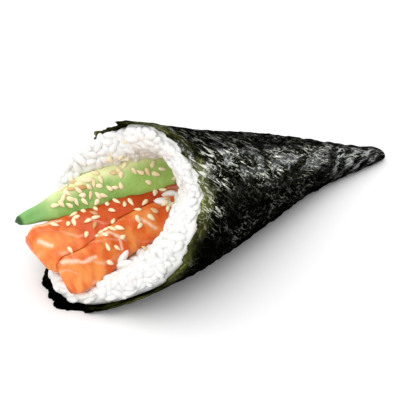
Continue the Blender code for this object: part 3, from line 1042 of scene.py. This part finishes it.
rice_material = rice_look()
rice.data.materials.clear()
rice.data.materials.append(rice_material)
print("rice dressed")

# %% Lay the grains
MOST_GRAINS = 700000.0  # on a square metre
GRAIN_LAYERS = (
    ("grains", grain, 0.00185, 3, ANY_DEPTH),
    ("grains by the sheet", short_grain, 0.00170, 8, 0.0052),
)

scatter_grains = scatter_grains_tree(rice_material)
layers = []
for name, shape, spacing, draw, deepest in GRAIN_LAYERS:
    layer = add_object(name, rice.data.copy())
    settings = {"Shape": shape, "Least distance": spacing, "Seed": draw}
    run_tree(layer, scatter_grains, {**settings, "Most per square metre": MOST_GRAINS})
    print(pick_out_misfits(layer, len(shape.data.vertices), deepest), name)
    layers.append(layer)
for layer in layers:
    join_meshes(rice, layer)
print("the rice has", len(rice.data.polygons), "faces")

# %% [markdown]
# Seaweed is almost black, with a green cast where it is thin. Thin fibres lie over it, and the
# toasted surface is crackled, so its gloss breaks up into small silver glints. They could be left
# to the lights, but a dark rough sheet hardly shows them, so the material paints them: short pale
# strokes are painted glints, a pale band is a painted sheen, and the folds of the tail get a
# painted gleam, where the stored values say that light falls. The fibres are painted paler only
# there too. At the torn lip the sheet is thin enough to show olive green, painted strongest where
# light falls and held back as painted shade at the front of the lip.

# %% The look of seaweed
BLACK_GREEN = (0.0006, 0.0007, 0.0004)
FIBRE = (0.020, 0.022, 0.010)
# Painted glints: a pale colour that stands for light caught by the crackled surface.
GLINT = (0.97, 0.99, 0.84)
# Painted sheen: the colour of a glossy highlight along the band.
SHEEN = (0.70, 0.74, 0.75)
# Painted gleam: the colour of light caught on the tail's folds.
TAIL_GLEAM = (0.86, 0.89, 0.88)
OLIVE = (0.46, 0.50, 0.12)
OLIVE_REACH = 0.0080
# Painted shade: the front of the lip, which lies in shade, keeps its olive back up to these places.
SHADED_LIP_FRONT = (-0.070, -0.056)  # the front of the lip stays dark, up to these places


def threads(tree, vector, scale, distortion, thin):
    """Thin wandering lines: the places where a noise passes its middle value."""
    middle = maths(tree, "SUBTRACT", noise(tree, vector, scale, 2, 0.5, distortion), 0.5)
    return remap(tree, maths(tree, "ABSOLUTE", middle), 0.0, thin, 1.0, 0.0)


def strokes(tree, flat, turn, longer, *pattern):
    """A noise drawn out along a slanted line."""
    return noise(tree, mapped(tree, flat, (1, longer, 1), turn, "TEXTURE"), *pattern)


def seaweed_look():
    look, tree, shader = principled(
        "toasted seaweed", IOR=1.5, Specular_IOR_Level=0.0, Coat_Roughness=0.22
    )
    flat = stored(tree, "sheet_uv", "Vector")
    painted_light = stored(tree, "painted_light")
    first = threads(tree, mapped(tree, flat, (1.0, 0.40, 1.0)), 620, 0.8, 0.045)
    second = threads(tree, mapped(tree, flat, (0.55, 0.9, 1.0)), 820, 1.2, 0.040)
    fibres = maths(tree, "MAXIMUM", first, times(tree, second, 0.9))
    patches = noise(tree, flat, 80, 4, 0.6)
    # The grit bumps the surface for real, and it also places the painted glints.
    grit_and_glints = remap(tree, strokes(tree, flat, 0.6, 2.6, 920, 3, 0.7), 0.52, 0.61)
    glint_strokes = remap(tree, strokes(tree, flat, -0.7, 3.0, 800, 3, 0.6, 1.0), 0.55, 0.62)
    glint_strokes = maths(tree, "MAXIMUM", glint_strokes, times(tree, fibres, grit_and_glints))
    # Painted sheen: the creases break the stored band into patches of pale colour that stand for a
    # glossy highlight.
    creases = noise(tree, mapped(tree, flat, (1.0, 0.8, 1.0)), 170, 3, 0.5, 0.8)
    band = times(tree, stored(tree, "band"), remap(tree, creases, 0.47, 0.60))
    broad = times(tree, painted_light, remap(tree, patches, 0.44, 0.58, 0.06, 1.0))
    broad = maths(tree, "MINIMUM", maths(tree, "ADD", broad, band), 1.0)
    # The paler fibres are painted light: they show only as far as the stored painted light reaches.
    colour = mix(tree, times(tree, fibres, painted_light, 0.9), BLACK_GREEN, FIBRE)
    # Painted glints: pale strokes wherever the painted light and the sheen band fall.
    colour = mix(tree, times(tree, glint_strokes, broad), colour, GLINT)
    shine = times(tree, band, remap(tree, grit_and_glints, 0.0, 1.0, 0.16, 1.0), 0.90)
    colour = mix(tree, shine, colour, SHEEN)
    # Painted gleam: pale streaks on the folds of the tail that stand for light caught there.
    facets = remap(tree, strokes(tree, flat, 0.9, 2.2, 420, 3, 0.6, 1.2), 0.44, 0.60)
    colour = mix(tree, times(tree, stored(tree, "gleam"), facets), colour, TAIL_GLEAM)
    # The olive of the thin lip is its own colour, but it is painted strongest where painted light
    # falls and held back at the front of the lip as painted shade.
    lip = remap(tree, stored(tree, "from_lip"), 0.0, OLIVE_REACH, 1.0, 0.0)
    under = remap(tree, parts_of(tree, flat)[1], *SHADED_LIP_FRONT, 0.0, 0.50)
    thin = times(tree, lip, maths(tree, "MAXIMUM", painted_light, under))
    thin = times(tree, thin, remap(tree, patches, 0.38, 0.60, 0.10, 1.0))
    thin = times(tree, thin, remap(tree, grit_and_glints, 0.0, 1.0, 0.35, 1.0))
    wire(
        tree,
        shader,
        Base_Color=mix(tree, thin, colour, OLIVE),
        Roughness=remap(tree, patches, 0.35, 0.68, 0.46, 0.26),
        Coat_Weight=times(tree, band, 0.25),
        Normal=bump(tree, fibres, 0.00025, 0.9, bump(tree, grit_and_glints, 0.0006, 0.8)),
    )
    return look


seaweed.data.materials.append(seaweed_look())
print("seaweed dressed")

# %% [markdown]
# Raw salmon is orange flesh crossed by pale lines of fat. Deeper in the roll it is painted a darker
# red, as painted shade.
# Faint lines follow the flakes: they repeat along the strip, lean across it and wander a
# little. The few bold streaks don't repeat, so each is drawn between two places in the
# flesh. The stored place in the flesh is the ruler for both.

# %% The look of salmon
FLAKE = 0.0150  # from one faint line to the next
STREAK_WIDENS = 1.6
# Bold streaks, each with two places across and along the flesh, and a width.
NEAR_FAT = (
    ((0.0048, 0.0745), (0.0027, 0.0660), 0.0008),
    ((0.0027, 0.0660), (0.0016, 0.0575), 0.0007),
    ((0.0066, 0.0495), (0.0050, 0.0455), 0.0007),
    ((0.0050, 0.0455), (0.0014, 0.0432), 0.0008),
    ((0.0014, 0.0432), (-0.0018, 0.0455), 0.0006),
    ((0.0034, 0.0316), (-0.0020, 0.0272), 0.0007),
)
FAR_FAT = (
    ((0.0076, 0.0700), (0.0062, 0.0580), 0.0007),
    ((0.0018, 0.0704), (-0.0030, 0.0682), 0.0008),
)
FAT = (0.93, 0.66, 0.49)
ORANGE, PALE_ORANGE = (0.74, 0.115, 0.012), (0.84, 0.285, 0.062)
# Painted shade: the two darker reds stand for the shade deeper in the roll.
SHADE_RED, DEEP_SHADE_RED = (0.60, 0.060, 0.006), (0.40, 0.028, 0.004)


def streak(tree, place, start, end, width):
    """One on the line between two places, fading to nothing over a width."""
    run = Vector((end[0] - start[0], end[1] - start[1], 0))
    reach = vector_maths(tree, "SUBTRACT", place, (*start, 0)).outputs["Vector"]
    passed = vector_maths(tree, "DOT_PRODUCT", reach, run / run.length_squared)
    share = add_node(tree, "ShaderNodeClamp")
    tree.links.new(passed.outputs["Value"], share.inputs["Value"])
    foot = vector_maths(tree, "MULTIPLY", share.outputs[0], run).outputs["Vector"]
    away = vector_maths(tree, "DISTANCE", reach, foot).outputs["Value"]
    return remap(tree, away, 0.0, width, 1.0, 0.0)


def flake_lines(tree, across, along, wander, lean, start):
    """Faint lines one flake apart."""
    leaning = times(tree, across, lean / FLAKE)
    place = maths(tree, "ADD", maths(tree, "MULTIPLY_ADD", along, 1 / FLAKE, start), leaning)
    place = maths(tree, "ADD", place, times(tree, wander, 0.9))
    between = maths(tree, "SUBTRACT", maths(tree, "FRACT", place), 0.5)
    return remap(tree, maths(tree, "ABSOLUTE", between), 0.0, 0.15, 1.0, 0.0)


def salmon_look(name, lean, start, shade_from, streaks):
    look, tree, shader = principled(
        name,
        Roughness=0.26,
        Subsurface_Weight=0.18,
        Subsurface_Scale=0.0016,
        Subsurface_Radius=(1.0, 0.35, 0.15),
        IOR=1.36,
        Coat_Weight=0.14,
        Coat_Roughness=0.12,
    )
    flesh = stored(tree, "flesh", "Vector")
    across, along = parts_of(tree, flesh)[:2]
    wander = noise(tree, flesh, 130, 2)
    faint = remap(tree, noise(tree, flesh, 110, 3), 0.44, 0.60, 0.06, 1.0)
    meat = mix(tree, remap(tree, noise(tree, flesh, 170, 4), 0.35, 0.66), ORANGE, PALE_ORANGE)
    # Painted shade: the flesh turns a darker red deeper in the roll, and on the far strip its
    # innermost part goes a deeper red still.
    inner_shade = remap(tree, along, shade_from, shade_from - 0.020)
    meat = mix(tree, times(tree, inner_shade, 0.85), meat, SHADE_RED)
    deepest = remap(tree, along, shade_from - 0.034, shade_from - 0.046)
    meat = mix(tree, times(tree, deepest, 0.55), meat, DEEP_SHADE_RED)
    fat = times(tree, flake_lines(tree, across, along, wander, lean, start), faint, 0.30)
    sway = add_node(tree, "ShaderNodeCombineXYZ")
    aside = maths(tree, "MULTIPLY_ADD", wander, 0.0030, across)
    tree.links.new(maths(tree, "SUBTRACT", aside, 0.0015), sway.inputs[0])
    tree.links.new(maths(tree, "MULTIPLY_ADD", faint, 0.0004, along), sway.inputs[1])
    frayed = remap(tree, noise(tree, flesh, 900, 2), 0.30, 0.62, 0.62, 0.92)
    for first, last, width in streaks:
        mark = streak(tree, sway.outputs[0], first, last, width * STREAK_WIDENS)
        fat = maths(tree, "MAXIMUM", fat, times(tree, mark, frayed))
    colour = mix(tree, fat, meat, FAT)
    wire(tree, shader, Base_Color=colour, Normal=soft_bumps(tree, 420, 0.0004))
    return look


for piece, look in (
    (salmon_front, salmon_look("salmon, near strip", -2.0, 0.30, 0.030, NEAR_FAT)),
    (salmon_back, salmon_look("salmon, far strip", -1.4, 0.05, 0.066, FAR_FAT)),
):
    piece.data.materials.append(look)
print("salmon dressed")

# %% [markdown]
# Ripe avocado is yellow near the stone and green near the skin. The stored place across the slice
# drives that change, and noise keeps it from being a clean gradient. Along the slice it is painted
# paler inside the roll, as painted light that lifts the shade there, and it turns greener towards
# its tip, which keeps its skin.

# %% The look of avocado
YELLOW = (0.88, 0.92, 0.50)
GREEN, SOFT_GREEN = (0.22, 0.42, 0.085), (0.34, 0.53, 0.15)
# The paler green is painted light for the flesh that the rice shades. The tip's green is the
# fruit's own colour.
LIT_GREEN, TIP_GREEN = (0.44, 0.68, 0.17), (0.17, 0.43, 0.13)
SKIN_GREEN = (0.030, 0.085, 0.020)


def avocado_look():
    look, tree, shader = principled(
        "avocado flesh",
        Roughness=0.38,
        Subsurface_Weight=0.18,
        Subsurface_Scale=0.0015,
        Subsurface_Radius=(0.8, 1.0, 0.35),
        IOR=1.4,
    )
    flesh = stored(tree, "flesh", "Vector")
    across, along = parts_of(tree, flesh)[:2]
    cloud = noise(tree, flesh, 160, 4)
    yellow = remap(tree, maths(tree, "MULTIPLY_ADD", cloud, 0.006, across), 0.0030, 0.0095)
    green = mix(tree, remap(tree, cloud, 0.35, 0.65), GREEN, SOFT_GREEN)
    # Painted light: inside the roll, where the rice shades the slice, its green is painted paler.
    green = mix(tree, times(tree, remap(tree, along, 0.036, 0.022), 0.75), green, LIT_GREEN)
    body = mix(tree, yellow, green, YELLOW)
    body = mix(tree, times(tree, remap(tree, along, 0.056, 0.068), 0.8), body, TIP_GREEN)
    skin = remap(tree, maths(tree, "MULTIPLY_ADD", cloud, 0.004, along), 0.0742, 0.0760)
    colour = mix(tree, skin, body, SKIN_GREEN)
    wire(tree, shader, Base_Color=colour, Normal=soft_bumps(tree, 380, 0.0005))
    return look


avocado.data.materials.append(avocado_look())
print("avocado dressed")

# %% [markdown]
# Small things that fell on the food lie flat on it. The next tree takes points that are
# already chosen, turns each shape to the slope there and spins it at random.

# %% Geometry Nodes that lay small things flat
def lay_flat_tree(name, look):
    tree, start, end = tree_with_inputs(name, (("Shape", "NodeSocketObject", None),))
    upright = add_node(tree, "FunctionNodeAlignRotationToVector", axis="Z")
    spin = random_between(tree, (-0.2, -0.2, 0), (0.2, 0.2, ALL_ROUND), 21)
    turn = add_node(tree, "FunctionNodeRotateRotation", rotation_space="LOCAL")
    size = random_between(tree, (0.86, 0.86, 0.9), (1.12, 1.12, 1.1), 22)
    link_all(
        tree,
        (read_attribute(tree, "slope", "FLOAT_VECTOR"), upright.inputs["Vector"]),
        (upright.outputs["Rotation"], turn.inputs["Rotation"]),
        (spin, turn.inputs["Rotate By"]),
    )
    place_shapes(tree, start, end, start.outputs["Geometry"], turn, size, look)
    return tree


print("the laying tree is ready for seeds and stray grains")

# %% [markdown]
# Sesame falls in clusters, not evenly, and a few grains of rice stray over the salmon.
# Each cluster has a middle, a spread along the roll and one across it, a count, and how
# far above the food it starts. Each thing falls on a slant until it meets the food, and
# one that would land on another is thrown again.

# %% Let seeds and stray grains fall
CLUSTERS = (
    (-0.0535, 0.0157, 0.0268, 0.0042, 0.0020, 30, 0.020),
    (-0.0390, 0.0145, 0.0250, 0.0045, 0.0030, 6, 0.020),
    (-0.0265, 0.0135, 0.0230, 0.0038, 0.0040, 11, 0.010),
    (-0.0345, 0.0168, 0.0320, 0.0034, 0.0014, 17, 0.006),
    (-0.0460, 0.0105, 0.0207, 0.0090, 0.0020, 8, 0.010),
    (-0.0575, 0.0092, 0.0204, 0.0060, 0.0020, 6, 0.010),
    (-0.0670, 0.0015, 0.0193, 0.0020, 0.0010, 1, 0.010),
    (-0.0470, 0.0022, 0.0190, 0.0100, 0.0022, 15, 0.010),
    (-0.0540, -0.0030, 0.0125, 0.0050, 0.0035, 5, 0.010),
    (-0.0310, 0.0010, 0.0170, 0.0030, 0.0035, 7, 0.008),
)
SEED_CROWDING, STRAY_CROWDING = 0.0018, 0.0028
SEED_LIFT, STRAY_LIFT = 0.00025, 0.0006
LEAST_UPWARD = 0.1  # nothing stays where the slope's upward part is less
STRAYS = (
    (-0.0535, -0.0120, 0.0140, 0.0018, 0.0012, 3, 0.010),
    (-0.0270, 0.0000, 0.0212, 0.0016, 0.0016, 4, 0.006),
)
FALLING = Vector((0.10, 0.55, -0.83)).normalized()


def fallen(clusters, food, crowding, draw):
    """Places on the food where things land, each with the slope there."""
    source = random.Random(draw)
    spots = []
    for x, y, z, along, across, count, reach in clusters:
        landed = tries = 0
        while landed < count and tries < 40 * count:
            tries += 1
            middle = Vector(
                (source.gauss(x, along), source.gauss(y, across), source.gauss(z, across))
            )
            spot, slope, _, _ = food.ray_cast(middle - ORIGIN - FALLING * reach, FALLING)
            clear = spot and all((spot - other).length > crowding for other, _ in spots)
            if clear and slope.z > LEAST_UPWARD:
                spots.append((spot, slope))
                landed += 1
    return spots


def spots_piece(name, spots, lift):
    slopes = [tuple(slope) for _, slope in spots]
    return new_piece(name, [spot + slope * lift for spot, slope in spots], [], {"slope": slopes})


spots = fallen(STRAYS, search_tree(salmon_front, rice), STRAY_CROWDING, 8)
strays = spots_piece("stray grains", spots, STRAY_LIFT)
run_tree(strays, lay_flat_tree("lay strays", rice_material), {"Shape": grain})
print(pick_out_misfits(strays, len(grain.data.vertices)), "stray grains on the salmon")
join_meshes(rice, strays)
all_food = search_tree(salmon_front, salmon_back, avocado, rice)
seeds = spots_piece("sesame", fallen(CLUSTERS, all_food, SEED_CROWDING, 12), SEED_LIFT)
print(len(seeds.data.vertices), "sesame seeds landed")

# %% [markdown]
# Sesame is cream with some seeds toasted darker. The random value of each mesh island
# chooses the tone of each seed.

# %% The look of sesame
def sesame_look():
    look, tree, shader = principled("toasted sesame", Roughness=0.42, IOR=1.45)
    island = add_node(tree, "ShaderNodeNewGeometry").outputs["Random Per Island"]
    pale = mix(tree, island, (0.96, 0.86, 0.58), (0.93, 0.79, 0.47))
    toasted = remap(tree, island, 0.88, 0.98)
    colour = mix(tree, toasted, pale, (0.62, 0.33, 0.12))
    wire(tree, shader, Base_Color=colour, Normal=soft_bumps(tree, 1500, 0.0001))
    return look


run_tree(seeds, lay_flat_tree("lay seeds", sesame_look()), {"Shape": seed})
kept_seeds = pick_out_misfits(seeds, len(seed.data.vertices))
seeds.data.shade_smooth()
print("sesame:", kept_seeds, "seeds,", len(seeds.data.polygons), "faces")

# %% [markdown]
# The helper shapes have done their work and go. Then every piece is hung under the root, and the
# plain solid that it stands for is hidden.

# %% Each piece takes its solid's place
for helper in [*cutters, grain, short_grain, seed]:
    bpy.data.objects.remove(helper)
for piece, node, slot in (
    (seaweed, "seaweed_sheet", "seaweed"),
    (rice, "rice", "rice"),
    (salmon_front, "salmon_front", "salmon"),
    (salmon_back, "salmon_back", "salmon"),
    (avocado, "avocado", "avocado"),
):
    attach(piece, "root")
    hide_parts(node)
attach(seeds, "root")

# %% [markdown]
# A pale floor and soft light from above make a small studio. The broad light overhead
# gives soft shadows, a smaller one in front of the mouth lights the fillings, and the
# pale world fills the rest.

# %% Studio
floor_mesh = bpy.data.meshes.new("studio_floor")
floor_mesh.from_pydata([(-2, -2, 0), (2, -2, 0), (2, 2, 0), (-2, 2, 0)], [], [(0, 1, 2, 3)])
floor = add_object("studio_floor", floor_mesh)
floor_look, _, _ = principled("pale floor", Base_Color=(0.93, 0.93, 0.93, 1), Roughness=0.9)
floor_mesh.materials.append(floor_look)

world = bpy.data.worlds.new("pale studio")
world.use_nodes = True
sky = world.node_tree.nodes["Background"]
sky.inputs["Color"].default_value = (1, 1, 1, 1)
sky.inputs["Strength"].default_value = 0.83
bpy.context.scene.world = world


def soft_light(name, place, size, power):
    lamp = bpy.data.lights.new(name, "AREA")
    lamp.size = size
    lamp.energy = power
    holder = add_object(name, lamp)
    holder.location = place
    holder.rotation_euler = (-Vector(place)).to_track_quat("-Z", "Y").to_euler()


soft_light("overhead", (-0.06, 0.08, 0.80), 1.20, 3.4)
soft_light("front_left", (-0.60, -0.30, 0.50), 0.60, 1.7)
bpy.context.scene.view_settings.view_transform = "Standard"
print("studio ready")

# %% [markdown]
# The camera looks down at the roll from its mouth end. A long lens from a short distance
# away keeps the mouth a little larger than the tail, as in a close product photograph.

# %% Camera
AZIMUTH = math.radians(35.5)
ELEVATION = math.radians(35)
DISTANCE = 0.45
SENSOR, LENS = 36, 121.2  # millimetres
LOOK_AT = Vector((-0.01895, -0.00386, 0.020)) - ORIGIN
camera = add_object("camera", bpy.data.cameras.new("camera"))
right = Vector((math.cos(AZIMUTH), -math.sin(AZIMUTH), 0))
level = math.cos(ELEVATION)
back = Vector((-math.sin(AZIMUTH) * level, -math.cos(AZIMUTH) * level, math.sin(ELEVATION)))
camera.matrix_world = Matrix((right, back.cross(right), back)).transposed().to_4x4()
camera.location = LOOK_AT + back * DISTANCE
camera.data.sensor_width = SENSOR
camera.data.lens = LENS
camera.data.clip_start = 0.01
bpy.context.scene.camera = camera
print("camera at", [round(c, 3) for c in camera.location])
